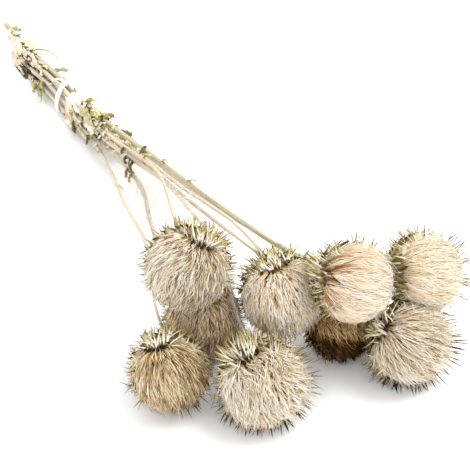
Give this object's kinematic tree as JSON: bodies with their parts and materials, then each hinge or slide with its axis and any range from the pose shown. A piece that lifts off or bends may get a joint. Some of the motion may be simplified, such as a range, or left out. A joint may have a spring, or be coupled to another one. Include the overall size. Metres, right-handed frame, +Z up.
{
  "type": "bunch of dried thistle flower heads",
  "caption": "Dried thistle flower heads on their long stems, tied into a bunch with white cord and lying on their side: round balls of cream down in cups of spiny green bracts.",
  "frame": {"origin": "middle of the bunch's footprint on the surface that it lies on", "axes": "+X along the stems from their cut ends to the heads, +Z up"},
  "size_m": [0.3592, 0.1492, 0.0698],
  "materials": {
    "pappus": "soft dense down of dry cream hairs, light tan in its depths and darker at the crown",
    "bracts": "dry olive to straw-coloured papery spines with dark brown tips",
    "stem": "dry ridged stem, straw-coloured to olive, with pale cobwebby hairs and scraps of crumpled leaf",
    "tie": "twisted undyed white cord"
  },
  "bodies": {
    "root": {"stem_1": "stem", "stem_2": "stem", "stem_3": "stem", "stem_4": "stem", "stem_5": "stem", "stem_6": "stem", "stem_7": "stem", "stem_8": "stem", "stem_9": "stem", "head_1_involucre": "bracts", "head_1_pappus": "pappus", "head_2_involucre": "bracts", "head_2_pappus": "pappus", "head_3_involucre": "bracts", "head_3_pappus": "pappus", "head_4_involucre": "bracts", "head_4_pappus": "pappus", "head_5_involucre": "bracts", "head_5_pappus": "pappus", "head_6_involucre": "bracts", "head_6_pappus": "pappus", "head_7_involucre": "bracts", "head_7_pappus": "pappus", "head_8_involucre": "bracts", "head_8_pappus": "pappus", "head_9_involucre": "bracts", "head_9_pappus": "pappus", "tie": "tie"}
  },
  "joints": []
}
